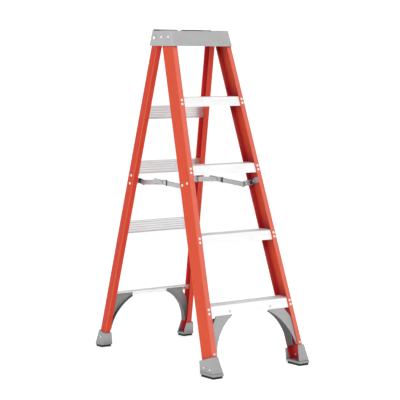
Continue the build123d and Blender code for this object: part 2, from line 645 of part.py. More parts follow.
# Front gussets below the bottom step
with BuildPart() as front_gusset_right:
    arc = [(x, front_v(z, 0)) for x, z in FRONT_GUSSET_ARC]
    outline = [(x, front_v(z, 0)) for x, z in FRONT_GUSSET_OUTLINE]
    add(gusset(FRONT, 1, arc, outline, RAIL_WALL + SHEET, FRONT_GUSSET_STRIP))
    rim_outside = outline[3:6]
    rim_inside = [(u - 2.6, v - 1.2) for u, v in reversed(rim_outside)]
    with BuildSketch(FRONT.offset(-RAIL_WALL - SHEET), mode=Mode.PRIVATE) as rim:
        with BuildLine():
            Polyline(*rim_outside, *rim_inside, close=True)
        make_face()
    add(extrude(rim.sketch, amount=-FRONT_GUSSET_RIM, mode=Mode.PRIVATE))
    # Near the foot the strip leaves the back of the plate
    behind_plate = -RAIL_WALL - SHEET - GUSSET_PLATE
    side = Plane(origin=FRONT.origin, x_dir=FRONT.z_dir, z_dir=(1, 0, 0)).offset(190)
    with BuildSketch(side, mode=Mode.PRIVATE) as gap:
        with BuildLine():
            Polyline((behind_plate, -STRIP_LEAVES_AT), (behind_plate, -60.0), (-52.0, -60.0), close=True)
        make_face()
    add(extrude(gap.sketch, amount=70, dir=(1, 0, 0), mode=Mode.PRIVATE), mode=Mode.SUBTRACT)
    boss = FRONT_GUSSET_FOOT.offset(-RAIL_WALL)
    inward = (Align.CENTER, Align.CENTER, Align.MAX)
    add(boss * Cylinder(GUSSET_BOSS_RADIUS, SHEET, align=inward, mode=Mode.PRIVATE))
    add(rivet_hole(FRONT_GUSSET_FOOT, 14), mode=Mode.SUBTRACT)
    add(rivet_hole(FRONT_GUSSET_TOP, 14), mode=Mode.SUBTRACT)
save(front_gusset_right, "front_gusset_right")

with BuildPart() as front_gusset_left:
    mirror(front_gusset_right.part, about=Plane.YZ)
save(front_gusset_left, "front_gusset_left")

# Rear gussets below the bottom brace
with BuildPart() as rear_gusset_right:
    arc = [(x, rear_v(z, 0)) for x, z in REAR_GUSSET_ARC]
    outline = [(x, rear_v(z, 0)) for x, z in REAR_GUSSET_OUTLINE]
    add(gusset(REAR, -1, arc, outline, RAIL_WALL + SHEET, REAR_GUSSET_STRIP))
    boss = REAR_GUSSET_FOOT.offset(-RAIL_WALL)
    inward = (Align.CENTER, Align.CENTER, Align.MAX)
    add(boss * Cylinder(GUSSET_BOSS_RADIUS, SHEET, align=inward, mode=Mode.PRIVATE))
    add(rivet_hole(REAR_GUSSET_FOOT, 14), mode=Mode.SUBTRACT)
    add(rivet_hole(REAR_GUSSET_TOP, 14), mode=Mode.SUBTRACT)
save(rear_gusset_right, "rear_gusset_right")

with BuildPart() as rear_gusset_left:
    mirror(rear_gusset_right.part, about=Plane.YZ)
save(rear_gusset_left, "rear_gusset_left")


def arm_shape(start, end, overhang, x):
    """Flat bar between two pivots, round at the first and running square past the second."""
    dy = end[0] - start[0]
    dz = end[1] - start[1]
    length = hypot(dy, dz)
    across = Plane(origin=(x, start[0], start[1]), x_dir=(0, dy, dz), z_dir=(1, 0, 0))
    with BuildSketch(across, mode=Mode.PRIVATE) as bar:
        with Locations((length / 2, 0)):
            Rectangle(length, ARM_HEIGHT)
        Circle(ARM_HEIGHT / 2)
        with Locations((length + overhang / 2, 0)):
            Rectangle(overhang, ARM_HEIGHT)
        with Locations((0, 0), (length, 0)):
            Circle(PIVOT_RADIUS + RUNNING, mode=Mode.SUBTRACT)
    return extrude(bar.sketch, amount=ARM_SHEET, mode=Mode.PRIVATE)


def stop_place(arm_x):
    """Plane across the front arm where its stop sits, x along the arm."""
    dy = MIDDLE_PIVOT[0] - FRONT_PIVOT[0]
    dz = MIDDLE_PIVOT[1] - FRONT_PIVOT[1]
    length = hypot(dy, dz)
    share = (length - STOP_REACH) / length
    middle = (arm_x + ARM_SHEET / 2, FRONT_PIVOT[0] + share * dy, FRONT_PIVOT[1] + share * dz)
    return Plane(origin=middle, x_dir=(0, dy, dz), z_dir=(1, 0, 0))


# Spreader arms: front arms pivot on the front brackets, rear arms on the rear brackets
with BuildPart() as spreader_front_arm_right:
    add(arm_shape(FRONT_PIVOT, MIDDLE_PIVOT, FRONT_ARM_OVERHANG, FRONT_ARM_X))
    seat = stop_place(FRONT_ARM_X)
    for face_side in (-1, 1):
        cutter = Box(STOP_WIDTH, 2 * ARM_HEIGHT, 2 * STOP_SEAT, mode=Mode.PRIVATE)
        add(seat * Pos(0, 0, face_side * ARM_SHEET / 2) * cutter, mode=Mode.SUBTRACT)
save(spreader_front_arm_right, "spreader_front_arm_right")

with BuildPart() as spreader_front_arm_left:
    mirror(spreader_front_arm_right.part, about=Plane.YZ)
save(spreader_front_arm_left, "spreader_front_arm_left")

with BuildPart() as spreader_rear_arm_right:
    add(arm_shape(REAR_PIVOT, MIDDLE_PIVOT, REAR_ARM_OVERHANG, REAR_ARM_X))
save(spreader_rear_arm_right, "spreader_rear_arm_right")

with BuildPart() as spreader_rear_arm_left:
    mirror(spreader_rear_arm_right.part, about=Plane.YZ)
save(spreader_rear_arm_left, "spreader_rear_arm_left")

with BuildPart() as spreader_stop_right:
    seat = stop_place(FRONT_ARM_X)
    add(seat * Box(STOP_WIDTH, ARM_HEIGHT + 3.0, ARM_SHEET, mode=Mode.PRIVATE))
    arm_room = Box(STOP_WIDTH + 2.0, ARM_HEIGHT, ARM_SHEET - 2 * STOP_SEAT, mode=Mode.PRIVATE)
    add(seat * arm_room, mode=Mode.SUBTRACT)
save(spreader_stop_right, "spreader_stop_right")

with BuildPart() as spreader_stop_left:
    mirror(spreader_stop_right.part, about=Plane.YZ)
save(spreader_stop_left, "spreader_stop_left")


def pin_along_x(x0, x1, point, radius):
    """Round bar along X between two x values through a (y, z) point."""
    upward = (Align.CENTER, Align.CENTER, Align.MIN)
    bar = Cylinder(radius, x1 - x0, align=upward, mode=Mode.PRIVATE)
    return Location((x0, point[0], point[1]), (0, 90, 0)) * bar


# The middle rivet is two halves, one on each arm, with a gap between them
with BuildPart() as middle_rivet_front_right:
    outside = FRONT_ARM_X + ARM_SHEET
    add(pin_along_x(FRONT_ARM_X, outside, MIDDLE_PIVOT, PIVOT_RADIUS))
    add(pin_along_x(outside, outside + PIVOT_HEAD, MIDDLE_PIVOT, PIVOT_HEAD_RADIUS))
save(middle_rivet_front_right, "middle_rivet_front_right")

with BuildPart() as middle_rivet_front_left:
    mirror(middle_rivet_front_right.part, about=Plane.YZ)
save(middle_rivet_front_left, "middle_rivet_front_left")

with BuildPart() as middle_rivet_rear_right:
    add(pin_along_x(REAR_ARM_X, REAR_ARM_X + ARM_SHEET, MIDDLE_PIVOT, PIVOT_RADIUS))
    add(pin_along_x(REAR_ARM_X - PIVOT_HEAD, REAR_ARM_X, MIDDLE_PIVOT, PIVOT_HEAD_RADIUS))
save(middle_rivet_rear_right, "middle_rivet_rear_right")

with BuildPart() as middle_rivet_rear_left:
    mirror(middle_rivet_rear_right.part, about=Plane.YZ)
save(middle_rivet_rear_left, "middle_rivet_rear_left")

FRONT_EAR_X = FRONT_ARM_X + ARM_SHEET + ARM_GAP
REAR_EAR_X = REAR_ARM_X - ARM_GAP - BRACKET_SHEET


def bracket_bar(target, x0, x1, pivot, start, end):
    """Bar along X between two x values; it spans from start to end along a direction from a pivot."""
    slope = Plane(origin=(x0, pivot[0], pivot[1]), x_dir=target, z_dir=(1, 0, 0))
    upward = (Align.MIN, Align.CENTER, Align.MIN)
    block = Box(end - start, BRACKET_HEIGHT, x1 - x0, align=upward, mode=Mode.PRIVATE)
    return slope * Pos(start, 0, 0) * block


# Spreader brackets: a foot on the web's inside, a wall inward, an ear out to the pivot
with BuildPart() as front_bracket_right:
    foot = web_axis(FRONT_RAIL, 40.0, FRONT_BRACKET_Z).offset(-RAIL_WALL)
    under = (Align.CENTER, Align.CENTER, Align.MAX)
    add(foot * Box(26, 52, BRACKET_SHEET, align=under, mode=Mode.PRIVATE))
    inward = (0, cos(ALPHA), -sin(ALPHA))
    wall_start = FRONT_WALL_ACROSS - BRACKET_SHEET / 2
    wall_end = FRONT_WALL_ACROSS + BRACKET_SHEET / 2
    ear_end_x = FRONT_EAR_X + BRACKET_SHEET
    add(bracket_bar(inward, FRONT_EAR_X, BRACKET_WALL_END_X, FRONT_PIVOT, wall_start, wall_end))
    add(bracket_bar(inward, FRONT_EAR_X, ear_end_x, FRONT_PIVOT, wall_start, EAR_END))
    web_outside = Plane(origin=foot.origin, z_dir=foot.z_dir)
    split(bisect_by=web_outside, keep=Keep.BOTTOM)
    bore = pin_along_x(FRONT_EAR_X - 1, FRONT_EAR_X + 9, FRONT_PIVOT, PIVOT_RADIUS + RUNNING)
    add(bore, mode=Mode.SUBTRACT)
    for place in FRONT_BRACKET_RIVETS:
        add(rivet_hole(place, 14), mode=Mode.SUBTRACT)
save(front_bracket_right, "front_bracket_right")

with BuildPart() as front_bracket_left:
    mirror(front_bracket_right.part, about=Plane.YZ)
save(front_bracket_left, "front_bracket_left")

with BuildPart() as rear_bracket_right:
    foot = web_axis(REAR_RAIL, -24.0, REAR_BRACKET_Z).offset(-RAIL_WALL)
    under = (Align.CENTER, Align.CENTER, Align.MAX)
    add(foot * Box(56, 16, BRACKET_SHEET, align=under, mode=Mode.PRIVATE))
    outward = (0, cos(BETA), sin(BETA))
    wall_start = REAR_WALL_ACROSS - BRACKET_SHEET / 2
    wall_end = REAR_WALL_ACROSS + BRACKET_SHEET / 2
    ear_end_x = REAR_EAR_X + BRACKET_SHEET
    add(bracket_bar(outward, REAR_EAR_X, BRACKET_WALL_END_X, REAR_PIVOT, wall_start, wall_end))
    add(bracket_bar(outward, REAR_EAR_X, ear_end_x, REAR_PIVOT, -EAR_END, wall_end))
    web_outside = Plane(origin=foot.origin, z_dir=foot.z_dir)
    split(bisect_by=web_outside, keep=Keep.BOTTOM)
    bore = pin_along_x(REAR_EAR_X - 1, REAR_EAR_X + 9, REAR_PIVOT, PIVOT_RADIUS + RUNNING)
    add(bore, mode=Mode.SUBTRACT)
    for place in REAR_BRACKET_RIVETS:
        add(rivet_hole(place, 14), mode=Mode.SUBTRACT)
        add(tail_relief(place, RAIL_WALL + BRACKET_SHEET), mode=Mode.SUBTRACT)
save(rear_bracket_right, "rear_bracket_right")

with BuildPart() as rear_bracket_left:
    mirror(rear_bracket_right.part, about=Plane.YZ)
save(rear_bracket_left, "rear_bracket_left")

# Arm pivots, fixed in the brackets' ears
with BuildPart() as front_pivot_right:
    inner_end = FRONT_ARM_X - 0.3
    outer_end = FRONT_EAR_X + BRACKET_SHEET
    add(pin_along_x(inner_end, outer_end, FRONT_PIVOT, PIVOT_RADIUS))
    add(pin_along_x(inner_end - PIVOT_HEAD, inner_end, FRONT_PIVOT, PIVOT_HEAD_RADIUS))
    add(pin_along_x(outer_end, outer_end + PIVOT_HEAD, FRONT_PIVOT, PIVOT_HEAD_RADIUS))
save(front_pivot_right, "front_pivot_right")

with BuildPart() as front_pivot_left:
    mirror(front_pivot_right.part, about=Plane.YZ)
save(front_pivot_left, "front_pivot_left")

with BuildPart() as rear_pivot_right:
    add(pin_along_x(REAR_EAR_X - PIVOT_HEAD, REAR_EAR_X, REAR_PIVOT, PIVOT_HEAD_RADIUS))
    add(pin_along_x(REAR_EAR_X, REAR_ARM_X + ARM_SHEET, REAR_PIVOT, PIVOT_RADIUS))
save(rear_pivot_right, "rear_pivot_right")

with BuildPart() as rear_pivot_left:
    mirror(rear_pivot_right.part, about=Plane.YZ)
save(rear_pivot_left, "rear_pivot_left")


def rivet_set(places):
    """Rivets for both sides: each place is a plane and the depth of its stack."""
    shapes = []
    for plane, depth in places:
        body = rivet(plane, depth)
        shapes.append(body)
        shapes.append(mirror(body, about=Plane.YZ, mode=Mode.PRIVATE))
    return shapes


STACK = RAIL_WALL + SHEET

with BuildPart() as step_rivets:
    add(rivet_set([(place, STACK) for place in STEP_RIVETS + STEP_BACK_RIVETS]))
save(step_rivets, "step_rivets")

with BuildPart() as brace_rivets:
    add(rivet_set([(place, STACK) for place in BRACE_RIVETS]))
save(brace_rivets, "brace_rivets")

with BuildPart() as cap_rivets:
    cap_places = zip(CAP_RIVETS, CAP_RIVET_LIFTS)
    add(rivet_set([(place.offset(lift), RAIL_WALL + lift) for place, lift in cap_places]))
save(cap_rivets, "cap_rivets")

with BuildPart() as front_gusset_rivets:
    add(rivet_set([(FRONT_GUSSET_FOOT, STACK + GUSSET_PLATE), (FRONT_GUSSET_TOP, SHEET + GUSSET_PLATE)]))
save(front_gusset_rivets, "front_gusset_rivets")

with BuildPart() as rear_gusset_rivets:
    add(rivet_set([(REAR_GUSSET_FOOT, STACK + GUSSET_PLATE), (REAR_GUSSET_TOP, SHEET + GUSSET_PLATE)]))
save(rear_gusset_rivets, "rear_gusset_rivets")

with BuildPart() as front_shoe_rivets:
    shoe_places = zip(FRONT_SHOE_RIVETS, FRONT_SHOE_LIFTS)
    add(rivet_set([(place.offset(lift), RAIL_WALL + lift) for place, lift in shoe_places]))
save(front_shoe_rivets, "front_shoe_rivets")

with BuildPart() as rear_shoe_rivets:
    shoe_depth = RAIL_WALL + REAR_SHOE_LIFT
    add(rivet_set([(place.offset(REAR_SHOE_LIFT), shoe_depth) for place in REAR_SHOE_RIVETS]))
save(rear_shoe_rivets, "rear_shoe_rivets")

with BuildPart() as bracket_rivets_front:
    add(rivet_set([(place, RAIL_WALL + BRACKET_SHEET) for place in FRONT_BRACKET_RIVETS]))
save(bracket_rivets_front, "bracket_rivets_front")

with BuildPart() as bracket_rivets_rear:
    add(rivet_set([(place, RAIL_WALL + BRACKET_SHEET) for place in REAR_BRACKET_RIVETS]))
save(bracket_rivets_rear, "bracket_rivets_rear")
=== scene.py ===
import json
from math import cos, pi, sin

import bmesh
import bpy
from mathutils import Matrix, Vector


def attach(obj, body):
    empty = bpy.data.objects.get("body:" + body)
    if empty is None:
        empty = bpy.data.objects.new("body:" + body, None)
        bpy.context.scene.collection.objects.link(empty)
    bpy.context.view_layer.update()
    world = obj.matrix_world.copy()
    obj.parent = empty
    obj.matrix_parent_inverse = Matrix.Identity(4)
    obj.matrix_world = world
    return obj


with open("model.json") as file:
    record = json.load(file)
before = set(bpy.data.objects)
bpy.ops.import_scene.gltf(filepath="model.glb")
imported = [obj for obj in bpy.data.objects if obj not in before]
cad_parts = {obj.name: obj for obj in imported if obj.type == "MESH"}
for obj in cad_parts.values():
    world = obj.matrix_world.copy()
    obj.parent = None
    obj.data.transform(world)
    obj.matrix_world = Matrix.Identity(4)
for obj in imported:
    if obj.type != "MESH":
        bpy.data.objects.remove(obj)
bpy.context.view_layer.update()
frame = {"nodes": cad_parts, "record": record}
nodes = frame["nodes"]

# Shader helpers. Noise values mostly lie between these two
NOISE_LOW = 0.3
NOISE_HIGH = 0.7
NOISE_ROUGHNESS = 0.55
BEVEL_SAMPLES = 4
OCCLUSION_SAMPLES = 8
# Cosines between rounded and real normals, on a flat and on a sharp edge
FLAT_COSINE = 0.99
EDGE_COSINE = 0.8
# Share of open sky seen by an open face and deep in a recess
OPEN_SKY = 0.95
RECESS_SKY = 0.4

# Stretch of a texture's coordinates for each axis: a small number draws the pattern out along that axis
EVEN = (1.0, 1.0, 1.0)
STRAND_STRETCH = (1.0, 1.0, 0.03)
RAIL_CLOUD_STRETCH = (1.0, 1.0, 0.35)
DRAW_LINE_STRETCH = (0.02, 1.0, 1.0)
METAL_CLOUD_STRETCH = (0.4, 1.0, 1.0)

SIDEWAYS = (1.0, 0.0, 0.0)
WHITE = (1.0, 1.0, 1.0)
STRAND_STOPS = ((0.3, (0.6, 0.05, 0.012)), (0.52, (0.68, 0.068, 0.018)), (0.75, (0.75, 0.09, 0.027)))
WORN_ORANGE = (0.68, 0.15, 0.08)
# Painted highlight on the rails' flanges and corners: its colour, and its share at the corners
HIGHLIGHT_ORANGE = (0.8, 0.26, 0.2)
CORNER_HIGHLIGHT = 0.28
METAL_CLOUD = (0.93, 0.93, 0.94)
# Painted contact shade on the aluminium, in tight corners and round rivet heads
CONTACT_SHADE_GREY = (0.68, 0.68, 0.69)
SPANGLE_STOPS = ((0.2, (0.42, 0.43, 0.445)), (0.8, (0.54, 0.55, 0.565)))
DULL_ZINC = (0.36, 0.37, 0.385)
# Painted shade with a painted red reflection of the rails, on zinc in recesses
SHADED_ZINC = (0.09, 0.02, 0.022)
DUST = (0.04, 0.039, 0.038)
# Directions square to the gussets' plates
FRONT_GUSSET_NORMAL = (0.0, -0.952, 0.305)
REAR_GUSSET_NORMAL = (0.0, 0.98, 0.201)
# Height of the parting groove round the front shoes, and half its width
SHOE_GROOVE = 0.021
GROOVE_HALF = 0.0011

# Small dark bars, in metres: their rounding is a share of the least side
BAR_ROUNDING = 0.3
BAR_SEGMENTS = 3
# Dark strips of painted shade on the cap's rear rim
# Name, left end and right end
RIM_SHADE_STRIPS = (("rim_shade_strip_left", -0.158, -0.133), ("rim_shade_strip_right", -0.0025, 0.108))
RIM_SHADE_Y = 0.143
RIM_SHADE_Z = 1.4584
RIM_SHADE_DEPTH = 0.0022
RIM_SHADE_HEIGHT = 0.0046
# Dark bars on the front spreader brackets
# Name and side
BRACKET_DARK_BARS = (("bracket_dark_bar_left", -1), ("bracket_dark_bar_right", 1))
BRACKET_BAR_SIZE = (0.015, 0.0006, 0.014)
BRACKET_BAR_X = 0.184
BRACKET_BAR_Y = -0.12968
BRACKET_BAR_Z = 0.78378
# Lean of the front section about X, in radians
FRONT_LEAN = -0.3102

# Studio sweep, in metres
FLOOR_RADIUS = 9.0
CURVE_RADIUS = 3.0
CURVE_STEPS = 8
WALL_TOP = 6.0
SPOKES = 64
SWEEP_GLOW = 0.46
WORLD_STRENGTH = 0.33
# Soft boxes: name, place, point aimed at, width in metres and power in watts
SOFT_BOXES = (
    ("key", (-2.5, -5.5, 4.5), (0, 0, 0.7), 2.5, 125.0),
    ("side", (-5.5, -1.5, 2.5), (0, 0, 0.7), 2.5, 48.0),
    ("top", (0.5, 0.5, 5.0), (0, 0, 0.5), 4.0, 60.0),
)

# Camera fitted to the photograph: place in metres, and its axes
CAMERA_PLACE = (-4.16583, -5.41054, 1.39809)
CAMERA_RIGHT = (0.79319, -0.6089, 0.00975)
CAMERA_UP = (0.05389, 0.08613, 0.99483)
CAMERA_FORWARD = (0.60659, 0.78856, -0.10113)
CAMERA_LENS = 138.08
SENSOR_WIDTH = 36.0


def grey(level):
    """Neutral colour of one level."""
    return (level, level, level)


def new_material(name):
    """Node material with its tree and principled shader."""
    material = bpy.data.materials.new(name)
    material.use_nodes = True
    tree = material.node_tree
    shader = tree.nodes["Principled BSDF"]
    return material, tree, shader


def mapped_coordinates(tree, stretch):
    """Object coordinates in metres, scaled by a number for each axis."""
    source = tree.nodes.new("ShaderNodeTexCoord")
    mapping = tree.nodes.new("ShaderNodeMapping")
    mapping.inputs["Scale"].default_value = stretch
    tree.links.new(source.outputs["Object"], mapping.inputs["Vector"])
    return mapping.outputs["Vector"]


def noise(tree, stretch, size, detail=4.0):
    """Noise value on stretched object coordinates."""
    node = tree.nodes.new("ShaderNodeTexNoise")
    node.inputs["Scale"].default_value = size
    node.inputs["Detail"].default_value = detail
    node.inputs["Roughness"].default_value = NOISE_ROUGHNESS
    tree.links.new(mapped_coordinates(tree, stretch), node.inputs["Vector"])
    return node.outputs["Fac"]


def ramp(tree, value, stops):
    """Colour ramp from (position, colour) stops."""
    node = tree.nodes.new("ShaderNodeValToRGB")
    elements = node.color_ramp.elements
    while len(elements) < len(stops):
        elements.new(0.5)
    for element, (position, colour) in zip(elements, stops):
        element.position = position
        element.color = (*colour, 1.0)
    tree.links.new(value, node.inputs["Fac"])
    return node.outputs["Color"]


def two_tone(tree, value, low, high):
    """Colour that goes from one to another over the usual range of a noise."""
    return ramp(tree, value, ((NOISE_LOW, low), (NOISE_HIGH, high)))


def mix_colour(tree, factor, first, second, blend="MIX"):
    """Mix of two colours; the factor is a socket or a number."""
    node = tree.nodes.new("ShaderNodeMix")
    node.data_type = "RGBA"
    node.blend_type = blend
    if isinstance(factor, float):
        node.inputs["Factor"].default_value = factor
    else:
        tree.links.new(factor, node.inputs["Factor"])
    for socket, colour in ((node.inputs["A"], first), (node.inputs["B"], second)):
        if isinstance(colour, tuple):
            socket.default_value = (*colour, 1.0)
        else:
            tree.links.new(colour, socket)
    return node.outputs["Result"]


def spread(tree, value, low, high, start=NOISE_LOW, end=NOISE_HIGH):
    """Value between start and end laid over the range from low to high."""
    node = tree.nodes.new("ShaderNodeMapRange")
    node.inputs["From Min"].default_value = start
    node.inputs["From Max"].default_value = end
    node.inputs["To Min"].default_value = low
    node.inputs["To Max"].default_value = high
    tree.links.new(value, node.inputs["Value"])
    return node.outputs["Result"]


def arithmetic(tree, operation, first, second=None):
    """One arithmetic node; the second value is a socket, a number or nothing."""
    node = tree.nodes.new("ShaderNodeMath")
    node.operation = operation
    tree.links.new(first, node.inputs[0])
    if isinstance(second, float):
        node.inputs[1].default_value = second
    elif second is not None:
        tree.links.new(second, node.inputs[1])
    return node.outputs["Value"]


def rounded_normal(tree, radius):
    """Normal that turns over sharp edges as if they were rounded."""
    node = tree.nodes.new("ShaderNodeBevel")
    node.samples = BEVEL_SAMPLES
    node.inputs["Radius"].default_value = radius
    return node.outputs["Normal"]


def edge_mask(tree, radius):
    """1 along sharp edges, 0 on flats, from a rounded normal against the real one."""
    geometry = tree.nodes.new("ShaderNodeNewGeometry")
    product = tree.nodes.new("ShaderNodeVectorMath")
    product.operation = "DOT_PRODUCT"
    tree.links.new(rounded_normal(tree, radius), product.inputs[0])
    tree.links.new(geometry.outputs["Normal"], product.inputs[1])
    return spread(tree, product.outputs["Value"], low=0.0, high=1.0, start=FLAT_COSINE, end=EDGE_COSINE)


def recess_mask(tree, distance):
    """1 deep in recesses, 0 on open faces."""
    shade = tree.nodes.new("ShaderNodeAmbientOcclusion")
    shade.samples = OCCLUSION_SAMPLES
    shade.inputs["Distance"].default_value = distance
    return spread(tree, shade.outputs["AO"], low=0.0, high=1.0, start=OPEN_SKY, end=RECESS_SKY)


def facing(tree, direction):
    """How squarely a face looks along a direction or against it, in the piece's own axes."""
    source = tree.nodes.new("ShaderNodeTexCoord")
    product = tree.nodes.new("ShaderNodeVectorMath")
    product.operation = "DOT_PRODUCT"
    product.inputs[1].default_value = direction
    tree.links.new(source.outputs["Normal"], product.inputs[0])
    return arithmetic(tree, "ABSOLUTE", product.outputs["Value"])


def height_band(tree, middle, half):
    """1 within a band of heights, 0 outside it."""
    source = tree.nodes.new("ShaderNodeTexCoord")
    parts = tree.nodes.new("ShaderNodeSeparateXYZ")
    tree.links.new(source.outputs["Object"], parts.inputs["Vector"])
    offset = arithmetic(tree, "SUBTRACT", parts.outputs["Z"], middle)
    return arithmetic(tree, "LESS_THAN", arithmetic(tree, "ABSOLUTE", offset), half)


def bump(tree, shader, height, strength, distance, radius=0.0008):
    """Bump over slightly rounded edges."""
    node = tree.nodes.new("ShaderNodeBump")
    node.inputs["Strength"].default_value = strength
    node.inputs["Distance"].default_value = distance
    tree.links.new(height, node.inputs["Height"])
    tree.links.new(rounded_normal(tree, radius), node.inputs["Normal"])
    tree.links.new(node.outputs["Normal"], shader.inputs["Normal"])


def fibreglass(name, tint, recess_shade, flange_highlight):
    """Orange pultruded fibreglass: strands along the rail, a resin gloss, paler rubbed edges, painted
    highlights on the flanges and corners, and painted shade in the channels.
    """
    material, tree, shader = new_material(name)
    strands = noise(tree, STRAND_STRETCH, size=900.0, detail=3.0)
    cloud = noise(tree, RAIL_CLOUD_STRETCH, size=14.0)
    body = ramp(tree, strands, STRAND_STOPS)
    cloudy = tuple(0.92 * part for part in tint)
    shade = two_tone(tree, cloud, cloudy, tint)
    tinted = mix_colour(tree, 1.0, body, shade, "MULTIPLY")
    edge_toned = mix_colour(tree, edge_mask(tree, radius=0.0012), tinted, WORN_ORANGE)
    # Painted highlight on the flanges and round the corners, not on the web
    sideways = facing(tree, SIDEWAYS)
    highlight_share = spread(tree, sideways, low=flange_highlight, high=CORNER_HIGHLIGHT, start=0.15, end=0.5)
    off_web = spread(tree, sideways, low=1.0, high=0.0, start=0.75, end=0.95)
    highlighted = mix_colour(tree, arithmetic(tree, "MULTIPLY", highlight_share, off_web), edge_toned, HIGHLIGHT_ORANGE)
    # Painted shade deep in the rails' channels
    recess_shaded = mix_colour(tree, recess_mask(tree, distance=0.09), highlighted, recess_shade)
    tree.links.new(recess_shaded, shader.inputs["Base Color"])
    tree.links.new(spread(tree, cloud, low=0.34, high=0.48), shader.inputs["Roughness"])
    shader.inputs["Specular IOR Level"].default_value = 0.2
    shader.inputs["Coat Weight"].default_value = 0.04
    shader.inputs["Coat Roughness"].default_value = 0.3
    bump(tree, shader, strands, strength=0.12, distance=0.0004)
    return material


def extruded_aluminium(name, low, high, metal):
    """Mill-finish aluminium: draw lines along X, a soft sheen, scuffs on the edges, painted contact shade
    in tight corners and round rivet heads.
    """
    material, tree, shader = new_material(name)
    lines = noise(tree, DRAW_LINE_STRETCH, size=700.0)
    cloud = noise(tree, METAL_CLOUD_STRETCH, size=18.0)
    body = two_tone(tree, lines, grey(low), grey(high))
    shade = two_tone(tree, cloud, METAL_CLOUD, WHITE)
    tinted = mix_colour(tree, 1.0, body, shade, "MULTIPLY")
    edge_toned = mix_colour(tree, edge_mask(tree, radius=0.0008), tinted, grey(0.98))
    # Painted contact shade in tight corners and round rivet heads
    contact_shaded = mix_colour(tree, recess_mask(tree, distance=0.006), edge_toned, CONTACT_SHADE_GREY)
    tree.links.new(contact_shaded, shader.inputs["Base Color"])
    shader.inputs["Metallic"].default_value = metal
    tree.links.new(spread(tree, cloud, low=0.36, high=0.5), shader.inputs["Roughness"])
    bump(tree, shader, lines, strength=0.1, distance=0.0003)
    return material


def moulded_grey(name, low, high, groove=None):
    """Grey moulded plastic with a fine spark grain, faint flow marks, darker edges and painted shade in
    recesses, perhaps a parting groove.
    """
    material, tree, shader = new_material(name)
    grain = noise(tree, EVEN, size=1500.0, detail=2.0)
    cloud = noise(tree, EVEN, size=22.0, detail=5.0)
    body = two_tone(tree, cloud, grey(low), grey(high))
    # Darker along sharp edges
    edge_toned = mix_colour(tree, edge_mask(tree, radius=0.0015), body, grey(low * 0.88))
    # Painted shade in recesses and between parts
    recess_shaded = mix_colour(tree, recess_mask(tree, distance=0.05), edge_toned, grey(low * 0.45))
    if groove is not None:
        recess_shaded = mix_colour(tree, height_band(tree, groove, GROOVE_HALF), recess_shaded, grey(0.06))
    tree.links.new(recess_shaded, shader.inputs["Base Color"])
    tree.links.new(spread(tree, cloud, low=0.46, high=0.6), shader.inputs["Roughness"])
    bump(tree, shader, grain, strength=0.18, distance=0.0004, radius=0.0012)
    return material


def gusset_grey(name, plate, strip, edge, normal):
    """Grey casting: a plain plate, painted shade on the strip square to it, its edges in their own painted
    tone.
    """
    material, tree, shader = new_material(name)
    grain = noise(tree, EVEN, size=1200.0, detail=3.0)
    cloud = noise(tree, EVEN, size=26.0, detail=5.0)
    face = two_tone(tree, cloud, grey(plate * 0.94), grey(plate))
    # Edges painted darker than the plate as shade on the front gussets, lighter as highlight on the rear
    # ones
    painted_edges = mix_colour(tree, edge_mask(tree, radius=0.003), face, grey(edge))
    # Painted shade on the strip square to the plate
    strip_shade_mask = spread(tree, facing(tree, normal), low=1.0, high=0.0, start=0.3, end=0.7)
    strip_shaded = mix_colour(tree, strip_shade_mask, painted_edges, (strip, strip * 0.95, strip * 0.95))
    tree.links.new(strip_shaded, shader.inputs["Base Color"])
    tree.links.new(spread(tree, cloud, low=0.5, high=0.64), shader.inputs["Roughness"])
    bump(tree, shader, grain, strength=0.2, distance=0.0004, radius=0.001)
    return material


def zinc_steel():
    """Zinc-plated strip with a faint spangle, painted shade and a painted red reflection of the rails where
    it lies close to a rail or another strip.
    """
    material, tree, shader = new_material("zinc_steel")
    cells = tree.nodes.new("ShaderNodeTexVoronoi")
    cells.inputs["Scale"].default_value = 160.0
    tree.links.new(mapped_coordinates(tree, EVEN), cells.inputs["Vector"])
    spangle = tree.nodes.new("ShaderNodeRGBToBW")
    tree.links.new(cells.outputs["Color"], spangle.inputs["Color"])
    cloud = noise(tree, EVEN, size=60.0, detail=5.0)
    body = ramp(tree, spangle.outputs["Val"], SPANGLE_STOPS)
    dulled = mix_colour(tree, spread(tree, cloud, low=0.0, high=0.35), body, DULL_ZINC)
    # Painted shade and painted red reflection of the rails in recesses
    shaded = mix_colour(tree, recess_mask(tree, distance=0.05), dulled, SHADED_ZINC)
    tree.links.new(shaded, shader.inputs["Base Color"])
    shader.inputs["Metallic"].default_value = 0.4
    tree.links.new(spread(tree, cloud, low=0.32, high=0.48), shader.inputs["Roughness"])
    bump(tree, shader, cloud, strength=0.08, distance=0.0003, radius=0.0006)
    return material


def rivet_metal(name, low, high, rim=None):
    """Aluminium rivets with a dull turned face, perhaps with a darker rim round the head."""
    material, tree, shader = new_material(name)
    cloud = noise(tree, EVEN, size=400.0, detail=3.0)
    body = two_tone(tree, cloud, grey(low), grey(high))
    if rim is not None:
        body = mix_colour(tree, edge_mask(tree, radius=0.002), body, grey(rim))
    tree.links.new(body, shader.inputs["Base Color"])
    shader.inputs["Metallic"].default_value = 0.4
    tree.links.new(spread(tree, cloud, low=0.3, high=0.46), shader.inputs["Roughness"])
    bump(tree, shader, cloud, strength=0.08, distance=0.0002, radius=0.0005)
    return material


